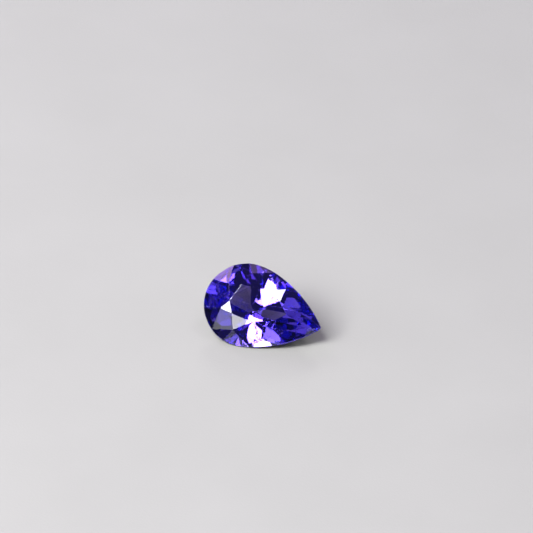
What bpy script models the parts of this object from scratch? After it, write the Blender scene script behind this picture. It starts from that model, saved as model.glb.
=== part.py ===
"""A loose pear-cut sapphire, lying on one facet of its pavilion.

The stone is made the way a cutter makes it. A pear-shaped blank stands up from its girdle outline, and
each facet is one flat cut across it. Seen from above the table, the round head is at -X and the point
at +X. The finished stone is then tipped over until one pavilion main lies flat on the ground.
Every size is in metres and +Z is up.
"""

import math

import bmesh
import bpy
from mathutils import Matrix, Vector

# Outline of the girdle
WIDTH = 0.00500
HALF_WIDTH = WIDTH / 2
HEAD_LENGTH = 1.000 * HALF_WIDTH  # widest place to the round end: the head is a half circle
POINT_LENGTH = 1.828 * HALF_WIDTH  # widest place to the point
SIDE_BULGE = 1.714  # how long the sides stay wide before they turn in
SIDE_CLOSING = 0.871  # how blunt the point is: 1 would be straighter, less is blunter
OUTLINE_STEPS = 30  # flats on the girdle from the round end, or from the point, to the widest place

# Heights, measured from the middle of the girdle
GIRDLE_THICKNESS = 0.072 * HALF_WIDTH
CROWN_HEIGHT = 0.274 * HALF_WIDTH
TIP_WEAR = 0.012 * HALF_WIDTH  # height worn off the deepest tip of the pavilion

# The mains are numbered from the round end, 0, to the point, 4. Those on the axis are single, and
# each of the others has a twin on the other side. Slopes are measured from the girdle's plane.
CROWN_AZIMUTHS = [math.radians(a) for a in (180.0, 126.7, 74.0, 55.1, 0.0)]
CROWN_SLOPES = [math.radians(a) for a in (24.0, 25.8, 27.2, 27.7, 18.0)]
PAVILION_AZIMUTHS = [math.radians(a) for a in (180.0, 118.6, 80.0, 59.4, 0.0)]
PAVILION_SLOPES = [math.radians(a) for a in (36.6, 40.4, 41.3, 42.5, 27.4)]
RESTING_MAIN = 2

# Where the table's corners lie along the axis, in half widths, for mains 1 to 3
TABLE_CORNERS = (-0.233, 0.291, 0.75)
HEAD_CORNER_DRIFT = -0.094 * HALF_WIDTH  # the table's corner at the head was cut off the axis

# Meeting points between one main and the next, from the head to the point
STAR_RISE = (0.763, 0.653, 0.40, 0.33)  # height of a star's lower corner, as a share of the crown
LOWER_REACH = (0.95, 0.61, 0.41, 0.20)  # depth of the lower girdle facets, as a share of the pavilion
GIRDLE_MEETS = (-0.94, -0.257, 1.06, 1.53)  # where they meet at the girdle, in half widths along X

# The cutting
SAME_POINT = 2e-7  # a corner this close to a cut counts as on it
BLANK_MARGIN = 1.3

# Colour, measured in linear light
BODY_COLOUR = (0.060, 0.035, 0.560, 1.0)
SAPPHIRE_INDEX = 1.77


def clear_scene():
    for old in list(bpy.data.objects):
        bpy.data.objects.remove(old, do_unlink=True)


def half_width_at(x):
    """Half the width of the outline at a distance x from its widest place."""
    if x < 0:
        return HALF_WIDTH * math.sqrt(max(0.0, 1 - (x / HEAD_LENGTH) ** 2))
    share = min(1.0, x / POINT_LENGTH)
    return HALF_WIDTH * (1 - share**SIDE_BULGE) ** SIDE_CLOSING


def near_side():
    """Points of the outline on the -Y side, from the round end to the point."""
    quarter = [math.pi / 2 * step / OUTLINE_STEPS for step in range(OUTLINE_STEPS + 1)]
    head = [-HEAD_LENGTH * math.cos(turn) for turn in quarter]
    point = [POINT_LENGTH * math.sin(turn) for turn in quarter[1:]]
    return [Vector((x, -half_width_at(x), 0.0)) for x in head + point]


def outward(azimuth):
    return Vector((math.cos(azimuth), math.sin(azimuth), 0.0))


def touch_point(azimuth):
    """Where a straight edge with this azimuth touches the outline."""
    side = near_side()
    around = side + [Vector((p.x, -p.y, 0.0)) for p in side]
    return max(around, key=lambda p: p.dot(outward(azimuth)))


def mirrored(point):
    return Vector((point.x, -point.y, point.z))


def three_plane_point(first, second, third):
    """The corner where three planes meet. A plane is a point on it and its outward normal."""
    rows = Matrix([plane[1] for plane in (first, second, third)])
    return rows.inverted() @ Vector([plane[0].dot(plane[1]) for plane in (first, second, third)])


def level(height):
    return Vector((0.0, 0.0, height)), Vector((0.0, 0.0, 1.0))


def plane_through(a, b, c):
    """The plane through three corners, with its normal pointing away from the stone's middle."""
    normal = (b - a).cross(c - a).normalized()
    if normal.dot(a) < 0:
        normal.negate()
    return a, normal


def crown_main(number):
    azimuth = -CROWN_AZIMUTHS[number]
    slope = CROWN_SLOPES[number]
    normal = outward(azimuth) * math.sin(slope) + Vector((0.0, 0.0, math.cos(slope)))
    edge = touch_point(azimuth) + Vector((0.0, 0.0, GIRDLE_THICKNESS / 2))
    return edge, normal


def pavilion_main(number):
    azimuth = -PAVILION_AZIMUTHS[number]
    slope = PAVILION_SLOPES[number]
    normal = outward(azimuth) * math.sin(slope) - Vector((0.0, 0.0, math.cos(slope)))
    edge = touch_point(azimuth) - Vector((0.0, 0.0, GIRDLE_THICKNESS / 2))
    return edge, normal


def pavilion_depth():
    """How far under the girdle's lower edge the resting main reaches the middle of the widest place."""
    azimuth = -PAVILION_AZIMUTHS[RESTING_MAIN]
    reach = touch_point(azimuth).dot(outward(azimuth))
    return reach * math.tan(PAVILION_SLOPES[RESTING_MAIN])


def girdle_meet(number, height):
    x = GIRDLE_MEETS[number] * HALF_WIDTH
    return Vector((x, -half_width_at(x), height))


def main_foot(azimuth, height):
    """Where a main with this azimuth touches the girdle, at a height on the girdle."""
    foot = touch_point(-azimuth)
    return Vector((foot.x, foot.y, height))


def table_corner(number):
    """The table's corner on one crown main."""
    top = GIRDLE_THICKNESS / 2 + CROWN_HEIGHT
    if number == 0:
        across = Vector((0.0, HEAD_CORNER_DRIFT, 0.0)), Vector((0.0, 1.0, 0.0))
    elif number == 4:
        across = Vector((0.0, 0.0, 0.0)), Vector((0.0, 1.0, 0.0))
    else:
        across = Vector((TABLE_CORNERS[number - 1] * HALF_WIDTH, 0.0, 0.0)), Vector((1.0, 0.0, 0.0))
    return three_plane_point(crown_main(number), level(top), across)


def star_foot(number):
    """The lower corner of the star between two crown mains."""
    height = GIRDLE_THICKNESS / 2 + STAR_RISE[number] * CROWN_HEIGHT
    return three_plane_point(crown_main(number), crown_main(number + 1), level(height))


def lower_peak(number):
    """Where the two lower girdle facets between two pavilion mains end, on the edge they share."""
    height = -GIRDLE_THICKNESS / 2 - LOWER_REACH[number] * pavilion_depth()
    return three_plane_point(pavilion_main(number), pavilion_main(number + 1), level(height))


def both_sides(corners):
    """One facet of the near side and its twin."""
    return [plane_through(*corners), plane_through(*[mirrored(corner) for corner in corners])]


def pavilion_cuts():
    cuts = []
    for number in range(5):
        point, normal = pavilion_main(number)
        cuts.append((point, normal))
        if 0 < number < 4:
            cuts.append((mirrored(point), mirrored(normal)))
    lower_edge = -GIRDLE_THICKNESS / 2
    for number in range(4):
        head_foot, point_foot = [main_foot(a, lower_edge) for a in PAVILION_AZIMUTHS[number : number + 2]]
        meet = girdle_meet(number, lower_edge)
        peak = lower_peak(number)
        cuts += both_sides([head_foot, meet, peak])
        cuts += both_sides([meet, point_foot, peak])
    return cuts


def crown_cuts():
    cuts = []
    for number in range(5):
        point, normal = crown_main(number)
        cuts.append((point, normal))
        if 0 < number < 4:
            cuts.append((mirrored(point), mirrored(normal)))
    upper_edge = GIRDLE_THICKNESS / 2
    for number in range(4):
        head_foot, point_foot = [main_foot(a, upper_edge) for a in CROWN_AZIMUTHS[number : number + 2]]
        meet = girdle_meet(number, upper_edge)
        peak = star_foot(number)
        cuts += both_sides([head_foot, meet, peak])
        cuts += both_sides([meet, point_foot, peak])
    return cuts


def star_cuts():
    cuts = []
    head = table_corner(0)
    first, foot = table_corner(1), star_foot(0)
    cuts.append(plane_through(head, first, foot))
    cuts.append(plane_through(head, mirrored(first), mirrored(foot)))
    for number in range(1, 4):
        cuts += both_sides([table_corner(number), table_corner(number + 1), star_foot(number)])
    return cuts


def blank():
    """The pear-shaped block that the facets are cut from: a round drum drawn out into the outline."""
    top = BLANK_MARGIN * (GIRDLE_THICKNESS / 2 + CROWN_HEIGHT)
    bottom = -BLANK_MARGIN * (GIRDLE_THICKNESS / 2 + pavilion_depth())
    bm = bmesh.new()
    corners = bmesh.ops.create_cone(
        bm, cap_ends=True, segments=4 * OUTLINE_STEPS, radius1=1.0, radius2=1.0, depth=top - bottom
    )["verts"]
    for corner in corners:
        length = HEAD_LENGTH if corner.co.x < 0 else POINT_LENGTH
        corner.co.x *= length
        corner.co.y = math.copysign(half_width_at(corner.co.x), corner.co.y)
    bmesh.ops.translate(bm, verts=corners, vec=(0.0, 0.0, (top + bottom) / 2))
    return bm


def cut_facet(bm, plane):
    """One pass on the lap: what stands proud of the plane goes, and the flat left behind is closed."""
    point, normal = plane
    everything = bm.verts[:] + bm.edges[:] + bm.faces[:]
    cut = bmesh.ops.bisect_plane(
        bm, geom=everything, dist=SAME_POINT, plane_co=point, plane_no=normal, clear_outer=True
    )
    rim = [item for item in cut["geom_cut"] if isinstance(item, bmesh.types.BMEdge)]
    rim = [edge for edge in rim if edge.is_boundary]
    if rim:
        bmesh.ops.contextual_create(bm, geom=rim)


def cut_stone():
    bm = blank()
    cuts = pavilion_cuts() + crown_cuts() + star_cuts()
    cuts.append(level(GIRDLE_THICKNESS / 2 + CROWN_HEIGHT))
    for plane in cuts:
        cut_facet(bm, plane)
    deepest = min(v.co.z for v in bm.verts)
    cut_facet(bm, (Vector((0.0, 0.0, deepest + TIP_WEAR)), Vector((0.0, 0.0, -1.0))))
    bmesh.ops.remove_doubles(bm, verts=bm.verts, dist=SAME_POINT)
    bmesh.ops.recalc_face_normals(bm, faces=bm.faces)
    return bm


def lay_down(bm):
    """Tips the stone onto its resting main, turns its length over X, and sets it on the ground."""
    _, normal = pavilion_main(RESTING_MAIN)
    tip_over = normal.rotation_difference(Vector((0.0, 0.0, -1.0))).to_matrix()
    length = tip_over @ Vector((1.0, 0.0, 0.0))
    straighten = Matrix.Rotation(-math.atan2(length.y, length.x), 3, "Z")
    bmesh.ops.rotate(bm, verts=bm.verts, cent=(0.0, 0.0, 0.0), matrix=straighten @ tip_over)
    low = Vector([min(v.co[axis] for v in bm.verts) for axis in range(3)])
    high = Vector([max(v.co[axis] for v in bm.verts) for axis in range(3)])
    middle = (low + high) / 2
    bmesh.ops.translate(bm, verts=bm.verts, vec=(-middle.x, -middle.y, -low.z))


def sapphire_material():
    material = bpy.data.materials.new("blue_violet_sapphire")
    material.use_nodes = True
    shader = material.node_tree.nodes["Principled BSDF"]
    shader.inputs["Base Color"].default_value = BODY_COLOUR
    shader.inputs["Roughness"].default_value = 0.02
    shader.inputs["Metallic"].default_value = 0.0
    shader.inputs["IOR"].default_value = SAPPHIRE_INDEX
    material.diffuse_color = BODY_COLOUR
    return material


def make_sapphire():
    bm = cut_stone()
    lay_down(bm)
    mesh = bpy.data.meshes.new("sapphire")
    bm.to_mesh(mesh)
    bm.free()
    mesh.materials.append(sapphire_material())
    stone = bpy.data.objects.new("sapphire", mesh)
    group = bpy.data.collections.new("pear_sapphire")
    bpy.context.scene.collection.children.link(group)
    group.objects.link(stone)
    return stone


clear_scene()
make_sapphire()
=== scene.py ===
# %% [markdown]
# A loose sapphire, cut as a pear brilliant and lying on one facet of its pavilion. The real stone
# is one piece of clear corundum, sawn, ground flat facet by flat facet on a lap and polished. This
# lesson dresses the measured solid of the stone: it takes the razor edge off every facet, leaves
# the girdle finely ground, makes the crystal clear and blue violet all through, and lights it so
# that the facets flash. Everything is in metres, and the stone is 7 mm long.

import math

import bmesh
import bpy
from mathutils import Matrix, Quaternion, Vector


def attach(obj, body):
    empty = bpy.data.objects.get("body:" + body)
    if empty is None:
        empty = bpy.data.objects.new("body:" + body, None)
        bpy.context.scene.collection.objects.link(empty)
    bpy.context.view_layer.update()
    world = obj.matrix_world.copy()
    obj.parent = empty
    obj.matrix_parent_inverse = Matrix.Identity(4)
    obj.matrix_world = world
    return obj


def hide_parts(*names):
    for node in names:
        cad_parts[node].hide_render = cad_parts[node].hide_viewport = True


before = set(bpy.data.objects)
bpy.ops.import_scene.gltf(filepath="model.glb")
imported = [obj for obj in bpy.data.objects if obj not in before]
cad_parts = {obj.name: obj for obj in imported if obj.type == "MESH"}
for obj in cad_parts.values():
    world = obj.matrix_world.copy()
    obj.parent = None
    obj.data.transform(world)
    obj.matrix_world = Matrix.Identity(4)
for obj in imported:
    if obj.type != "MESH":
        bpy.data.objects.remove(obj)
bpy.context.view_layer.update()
MM = 0.001
MICRON = 0.001 * MM

# %% [markdown]
# The camera comes first, so that every later step can be judged in the picture. A gem this small
# is photographed through a long lens from about 30 cm away, which keeps the outline almost free of
# perspective. At the stone, one millimetre fills 17.1 pixels of the picture. The camera could be
# placed by eye, but here the middle of the girdle, at the stone's widest place, is tied to the spot
# where the picture shows it. The camera is moved sideways until it falls there, so the lens needs
# no shift.

# %% Set the camera
PICTURE_SIDE = 533
PIXELS_PER_METRE = 17115
VIEW_AZIMUTH = math.radians(12.32)
VIEW_ELEVATION = math.radians(34.45)
VIEW_ROLL = math.radians(5.02)
CAMERA_DISTANCE = 0.30
NEAREST_SEEN = 0.01
GIRDLE_MIDDLE = Vector((-1.026, -0.008, 1.718)) * MM
GIRDLE_MIDDLE_PIXEL = (246.6, 305.1)


def direction(azimuth, elevation):
    """A unit vector towards a place in the studio. Azimuth 0 is the front, -Y, and grows towards +X."""
    level = math.cos(elevation)
    return Vector((math.sin(azimuth) * level, -math.cos(azimuth) * level, math.sin(elevation)))


backward = direction(VIEW_AZIMUTH, VIEW_ELEVATION)
turn = (-backward).to_track_quat("-Z", "Y") @ Quaternion((0.0, 0.0, 1.0), VIEW_ROLL)
rightward = turn @ Vector((1.0, 0.0, 0.0))
upward = turn @ Vector((0.0, 1.0, 0.0))
to_centre = (PICTURE_SIDE / 2 - GIRDLE_MIDDLE_PIXEL[0]) / PIXELS_PER_METRE
from_below = (GIRDLE_MIDDLE_PIXEL[1] - PICTURE_SIDE / 2) / PIXELS_PER_METRE

lens = bpy.data.cameras.new("close_up_camera")
lens.lens = lens.sensor_width * CAMERA_DISTANCE * PIXELS_PER_METRE / PICTURE_SIDE
lens.clip_start = NEAREST_SEEN
camera = bpy.data.objects.new("close_up_camera", lens)
camera.rotation_mode = "QUATERNION"
camera.rotation_quaternion = turn
camera.location = (
    GIRDLE_MIDDLE + rightward * to_centre + upward * from_below + backward * CAMERA_DISTANCE
)
bpy.context.scene.collection.objects.link(camera)
bpy.context.scene.camera = camera
print("lens", round(lens.lens), "mm, camera at", [round(c, 4) for c in camera.location])

# %% [markdown]
# The floor is a sheet of plain pale paper. Even plain paper is a little uneven in tone, so a soft
# noise mixes two greys into faint clouds. A picture of real paper would do the same, but a noise
# never repeats and needs no file. The noise reads Object coordinates, so its scale is in metres.

# %% Mix the paper
PAPER_DARK = (0.412, 0.413, 0.395, 1.0)
PAPER_LIGHT = (0.452, 0.453, 0.435, 1.0)
CLOUD_SIZE = 9 * MM
CLOUD_DETAIL = 3.0
PAPER_ROUGHNESS = 0.9
PAPER_SHEEN = 0.1


def new_material(name):
    """A material with nodes, and its Principled shader."""
    made = bpy.data.materials.new(name)
    made.use_nodes = True
    return made, made.node_tree.nodes["Principled BSDF"]


def noise(material, grain, detail):
    """A noise on the piece's own Object coordinates, with a grain given in metres."""
    tree = material.node_tree
    place = tree.nodes.new("ShaderNodeTexCoord")
    pattern = tree.nodes.new("ShaderNodeTexNoise")
    pattern.inputs["Scale"].default_value = 1 / grain
    pattern.inputs["Detail"].default_value = detail
    tree.links.new(place.outputs["Object"], pattern.inputs["Vector"])
    return pattern.outputs["Fac"]


paper, paper_shader = new_material("pale_paper")
tint = paper.node_tree.nodes.new("ShaderNodeMix")
tint.data_type = "RGBA"
tint.inputs["A"].default_value = PAPER_DARK
tint.inputs["B"].default_value = PAPER_LIGHT
paper.node_tree.links.new(noise(paper, CLOUD_SIZE, CLOUD_DETAIL), tint.inputs["Factor"])
paper.node_tree.links.new(tint.outputs["Result"], paper_shader.inputs["Base Color"])
paper_shader.inputs["Roughness"].default_value = PAPER_ROUGHNESS
paper_shader.inputs["Specular IOR Level"].default_value = PAPER_SHEEN
print("paper with clouds of", round(CLOUD_SIZE / MM, 1), "mm")

# %% [markdown]
# Paper also has a fine tooth, the tips of its fibres, and a close-up shows it. A much finer noise
# raises it as a bump. Modelled fibres would take millions of faces, for something that only breaks
# the light up a little.

# %% Raise the tooth of the paper
TOOTH_SIZE = 0.16 * MM
TOOTH_HEIGHT = 6 * MICRON
TOOTH_DETAIL = 2.0


def raised(material, height, depth, below=None):
    """A bump of a depth in metres, laid over the bump below it."""
    tree = material.node_tree
    bump = tree.nodes.new("ShaderNodeBump")
    bump.inputs["Distance"].default_value = depth
    tree.links.new(height, bump.inputs["Height"])
    if below is not None:
        tree.links.new(below, bump.inputs["Normal"])
    return bump.outputs["Normal"]


paper_tooth = raised(paper, noise(paper, TOOTH_SIZE, TOOTH_DETAIL), TOOTH_HEIGHT)
paper.node_tree.links.new(paper_tooth, paper_shader.inputs["Normal"])
print("paper with a tooth of", round(TOOTH_SIZE / MM, 2), "mm")

# %% [markdown]
# A disc far wider than the picture is enough for the shape of the sheet. It isn't part of the stone. It
# lies a hair below the stone, because a stone touches paper only on the tips of its fibres. Without
# that film of air, the facet that the stone rests on couldn't mirror any light.

# %% Lay the floor
FLOOR_RADIUS = 0.6
FLOOR_SIDES = 96
AIR_FILM = 12 * MICRON


def mesh_object(name, bm, material):
    """Turns a finished bmesh into an object at the origin."""
    mesh = bpy.data.meshes.new(name)
    bm.to_mesh(mesh)
    bm.free()
    mesh.materials.append(material)
    made = bpy.data.objects.new(name, mesh)
    bpy.context.scene.collection.objects.link(made)
    return made


disc = bmesh.new()
bmesh.ops.create_circle(disc, cap_ends=True, segments=FLOOR_SIDES, radius=FLOOR_RADIUS)
bmesh.ops.translate(disc, vec=(0.0, 0.0, -AIR_FILM), verts=disc.verts)
floor = mesh_object("floor", disc, paper)
print("floor", 2 * FLOOR_RADIUS, "m across")

# %% [markdown]
# A gem shows its lights more than its own colour. Each facet, seen through the crown, picks out
# one small patch of the room, so a lamp in that patch makes the whole facet flash and a dark patch
# leaves it deep blue. One big soft box would fill every facet with the same pale light, so several
# round soft lamps are hung where the facets look, with darkness between them. A lamp's place is
# given by azimuth and elevation as seen from the stone, with the camera's own azimuth as zero. Its
# radius is an angle too, and its brightness is how bright its face looks, whatever its size. A
# facet mirrors only about a twelfth of that, so a lamp has to be about twelve times as bright as
# white paper to make a facet look white. The lamps are white, apart from the faint ones that put a
# sheen on the facets along the rim. Those are lilac, like the light off a coloured cloth.

# %% Hang the lamps
LAMP_DISTANCE = 0.35
WHITE = (1.0, 1.0, 1.0)
LILAC = (0.76, 0.50, 1.0)


def hang_lamp(name, azimuth, elevation, radius, brightness, colour=WHITE):
    """A round soft lamp that faces the stone. The angles are in degrees, as seen from the stone."""
    light = bpy.data.lights.new(name, "AREA")
    light.shape = "DISK"
    light.size = 2 * LAMP_DISTANCE * math.tan(math.radians(radius))
    area = math.pi * (light.size / 2) ** 2
    light.energy = brightness * math.pi * area
    light.color = colour
    towards = direction(VIEW_AZIMUTH + math.radians(azimuth), math.radians(elevation))
    lamp = bpy.data.objects.new(name, light)
    lamp.rotation_mode = "QUATERNION"
    lamp.rotation_quaternion = (-towards).to_track_quat("-Z", "Y")
    lamp.location = towards * LAMP_DISTANCE
    lamp.visible_camera = False
    bpy.context.scene.collection.objects.link(lamp)


# Each lamp has a name, an azimuth, an elevation, a radius, a brightness and, if not white, a colour.
LAMPS = (
    # The white flash in the middle of the stone and the smaller ones below it.
    ("key_lamp", -52.0, 41.0, 12.0, 19.0),
    ("flash_lamp", -34.0, 57.0, 8.0, 27.0),
    ("high_left_lamp", -46.0, 64.0, 6.0, 10.0),
    ("low_front_lamp", -40.0, 28.0, 4.5, 15.0),
    ("far_flash_lamp", -141.0, 34.0, 6.5, 8.0),
    # Facets of the crown that mirror a lamp: two near the round head, one on the far side.
    ("front_lamp", -20.0, 31.0, 5.0, 7.0),
    ("low_left_lamp", -51.0, 17.0, 6.0, 1.6),
    ("high_back_lamp", 132.0, 67.0, 4.0, 15.0),
    # Violet and blue patches deep in the stone.
    ("near_left_lamp", -78.0, 17.0, 8.0, 3.5),
    ("far_left_lamp", -100.0, 15.0, 9.0, 0.9),
    ("low_right_lamp", 27.0, 7.0, 6.5, 0.8),
    ("right_lamp", 68.0, 14.0, 9.0, 1.2),
    ("back_lamp", 182.0, 29.0, 7.0, 14.0),
    # A faint lilac sheen on the facets along the rim.
    ("left_lamp", -80.0, 48.0, 7.0, 3.1, LILAC),
    ("left_back_lamp", -128.0, 43.0, 8.0, 4.0, LILAC),
    ("high_far_lamp", 180.0, 51.0, 10.0, 1.0, LILAC),
    ("high_right_lamp", 33.0, 70.0, 12.0, 1.0, LILAC),
)
for lamp_values in LAMPS:
    hang_lamp(*lamp_values)
print(len(LAMPS), "lamps")

# %% [markdown]
# The room itself stays dim and a little cool. It only keeps the facets that look past the lamps
# from going black. A bright room would be simpler, but it would wash the deep blue out.

# %% Dim the room
ROOM_LIGHT = (0.05, 0.05, 0.08, 1.0)
room = bpy.data.worlds.new("dim_room")
room.use_nodes = True
room.node_tree.nodes["Background"].inputs["Color"].default_value = ROOM_LIGHT
bpy.context.scene.world = room
print("room light", ROOM_LIGHT[:3])

# %% [markdown]
# Light in a gem bounces many times before it comes out, so the paths are allowed to be long. A
# real stone also throws bright spots of coloured light on the paper. They would take very many
# samples to settle, so the stone casts a plain soft shadow here. The colours are shown as they
# are, without the softening of a film look, because the stone is more vivid than that allows.

# %% Let light travel through the stone
PATH_LENGTH = 32
cycles = bpy.context.scene.cycles
cycles.max_bounces = PATH_LENGTH
cycles.transmission_bounces = PATH_LENGTH
cycles.glossy_bounces = PATH_LENGTH
cycles.caustics_refractive = False
cycles.caustics_reflective = False
bpy.context.scene.view_settings.view_transform = "Standard"
print("paths of up to", PATH_LENGTH, "bounces")

# %% [markdown]
# The measured solid is loose triangles. A copy of it is merged, and the triangles of each flat
# facet are joined to one face, because the next step works facet by facet. The largest face is the
# table, and its normal tells later which faces belong to the girdle, which stands square to it.

# %% Copy the stone
SAME_POINT = 0.3 * MICRON
SAME_FACET = math.radians(0.6)


def join_flat_faces(bm, angle):
    """Joins neighbouring faces that lie in one plane."""
    bmesh.ops.dissolve_limit(bm, angle_limit=angle, verts=bm.verts, edges=bm.edges)


stone_mesh = bmesh.new()
stone_mesh.from_mesh(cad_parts["sapphire"].data)
bmesh.ops.remove_doubles(stone_mesh, verts=stone_mesh.verts, dist=SAME_POINT)
join_flat_faces(stone_mesh, SAME_FACET)
table = max(stone_mesh.faces, key=lambda face: face.calc_area())
table_normal = table.normal.copy()
print("faces", len(stone_mesh.faces), "table of", round(table.calc_area() / MM**2, 2), "square mm")

# %% [markdown]
# No polished edge is a perfect razor: a flat about a hundredth of a millimetre wide runs along it
# and catches the light. Bevel is the usual tool, but where five facets meet in almost one point its
# corners fold over each other. A cut stone is convex all over, so there is a safer way: every facet
# is inset by about half the width of a flat, only the corners of the inset facets are kept, and a
# convex hull is stretched over them. The facets keep their planes, and the hull itself makes the
# flats. The hull tool is too coarse for points this close, so the stone is a thousand times as
# large while it works.

# %% Take the razor edge off
EDGE_INSET = 8 * MICRON
NARROW = 2.6 * EDGE_INSET
SAME_CORNER = 5 * MICRON
HULL_SCALE = 1 / MM
SAME_PLANE = math.radians(0.25)


def too_narrow(face):
    """Whether a face is a mere strip. The area of a strip is its width times half its perimeter."""
    return face.calc_area() < NARROW * face.calc_perimeter() / 2


wide_faces = [face for face in stone_mesh.faces if not too_narrow(face)]
bmesh.ops.inset_individual(stone_mesh, faces=wide_faces, thickness=EDGE_INSET, use_even_offset=True)
corners = {vertex for face in wide_faces for vertex in face.verts}
outside = [vertex for vertex in stone_mesh.verts if vertex not in corners]
bmesh.ops.delete(stone_mesh, geom=outside, context="VERTS")
bmesh.ops.delete(stone_mesh, geom=stone_mesh.edges[:], context="EDGES_FACES")
bmesh.ops.remove_doubles(stone_mesh, verts=stone_mesh.verts, dist=SAME_CORNER)
bmesh.ops.scale(stone_mesh, vec=(HULL_SCALE,) * 3, verts=stone_mesh.verts)
bmesh.ops.convex_hull(stone_mesh, input=stone_mesh.verts[:])
loose = [vertex for vertex in stone_mesh.verts if not vertex.link_faces]
bmesh.ops.delete(stone_mesh, geom=loose, context="VERTS")
bmesh.ops.scale(stone_mesh, vec=(1 / HULL_SCALE,) * 3, verts=stone_mesh.verts)
join_flat_faces(stone_mesh, SAME_PLANE)
bmesh.ops.recalc_face_normals(stone_mesh, faces=stone_mesh.faces)
open_edges = sum(not edge.is_manifold for edge in stone_mesh.edges)
print("inset", len(wide_faces), "faces, now", len(stone_mesh.faces), "open edges", open_edges)
print("volume in cubic mm:", round(stone_mesh.calc_volume() / MM**3, 3))

# %% [markdown]
# The girdle, the thin band at the widest place, is ground but not polished on most stones, so it
# looks like frosted glass. It could have a material of its own, but a clear solid has to keep one
# material, or the renderer loses track of where the colour of the crystal ends. So each face
# carries a number instead: 1 on the ground girdle, a little on the flats along the edges, and 0 on
# the polished facets. The girdle is shaded smooth, because on the stone it is one curve.

# %% Mark the ground girdle
GIRDLE_LEAN = math.sin(math.radians(7))
GROUND = 1.0
WORN_EDGE = 0.3
grinding = stone_mesh.faces.layers.float.new("ground")
for face in stone_mesh.faces:
    if abs(face.normal.dot(table_normal)) < GIRDLE_LEAN:
        face[grinding] = GROUND
        face.smooth = True
    elif too_narrow(face):
        face[grinding] = WORN_EDGE
girdle_faces = sum(face[grinding] == GROUND for face in stone_mesh.faces)
edge_faces = sum(0.0 < face[grinding] < GROUND for face in stone_mesh.faces)
print("ground girdle faces", girdle_faces, "edge flats", edge_faces)

# %% [markdown]
# The crystal is plain clear corundum: full transmission, its own index of refraction, and a colour
# that comes only from absorption along the path of the light. Short paths near the rim stay lilac,
# and long ones with many reflections turn deep blue, which painting the surface could never do.

# %% Make the crystal
COLOURLESS = (1.0, 1.0, 1.0, 1.0)
CLEAR = 1.0
CORUNDUM_INDEX = 1.77
BODY_COLOUR = (0.30, 0.14, 0.90, 1.0)
BODY_DENSITY = 500.0
crystal, crystal_shader = new_material("blue_violet_crystal")
crystal_shader.inputs["Base Color"].default_value = COLOURLESS
crystal_shader.inputs["Transmission Weight"].default_value = CLEAR
crystal_shader.inputs["IOR"].default_value = CORUNDUM_INDEX
body = crystal.node_tree.nodes.new("ShaderNodeVolumeAbsorption")
body.inputs["Color"].default_value = BODY_COLOUR
body.inputs["Density"].default_value = BODY_DENSITY
crystal_output = crystal.node_tree.nodes["Material Output"]
crystal.node_tree.links.new(body.outputs["Volume"], crystal_output.inputs["Volume"])
print("absorption per metre:", [round((1 - c) * BODY_DENSITY) for c in BODY_COLOUR[:3]])

# %% [markdown]
# The finish of the surface comes from the number on the faces. Where the girdle is ground it
# scatters the light and has a fine grain. The polished facets are clear, but a lap never leaves
# them perfectly flat: they roll by about a thousandth of a millimetre. A facet still mirrors a
# lamp evenly, but light that has bounced three or four times inside has met the wave each time,
# and that gives the flashes in a real stone their ragged edges.

# %% Finish the surface
GROUND_ROUGHNESS = 0.42
GRAIN_SIZE = 30 * MICRON
GRAIN_DEPTH = 3 * MICRON
GRAIN_DETAIL = 2.0
WAVE_SIZE = 220 * MICRON
WAVE_DEPTH = 1.5 * MICRON
WAVE_DETAIL = 1.0


def product(material, first, second):
    """Two values multiplied. Either may be a socket or a number."""
    node = material.node_tree.nodes.new("ShaderNodeMath")
    node.operation = "MULTIPLY"
    for socket, value in zip(node.inputs, (first, second)):
        if isinstance(value, float):
            socket.default_value = value
        else:
            material.node_tree.links.new(value, socket)
    return node.outputs["Value"]


ground = crystal.node_tree.nodes.new("ShaderNodeAttribute")
ground.attribute_name = "ground"
roughness = product(crystal, ground.outputs["Fac"], GROUND_ROUGHNESS)
crystal.node_tree.links.new(roughness, crystal_shader.inputs["Roughness"])
lap_wave = raised(crystal, noise(crystal, WAVE_SIZE, WAVE_DETAIL), WAVE_DEPTH)
grain = product(crystal, ground.outputs["Fac"], noise(crystal, GRAIN_SIZE, GRAIN_DETAIL))
surface = raised(crystal, grain, GRAIN_DEPTH, lap_wave)
crystal.node_tree.links.new(surface, crystal_shader.inputs["Normal"])
print("girdle roughness", GROUND_ROUGHNESS, "lap wave", round(WAVE_DEPTH / MICRON, 2), "microns deep")

# %% [markdown]
# The finished stone takes the place of the measured solid. It rides on the part's one body.

# %% Set the stone in its place
stone = mesh_object("pear_sapphire", stone_mesh, crystal)
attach(stone, "root")
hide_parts("sapphire")
print("stone with", len(stone.data.vertices), "corners and", len(stone.data.polygons), "faces")
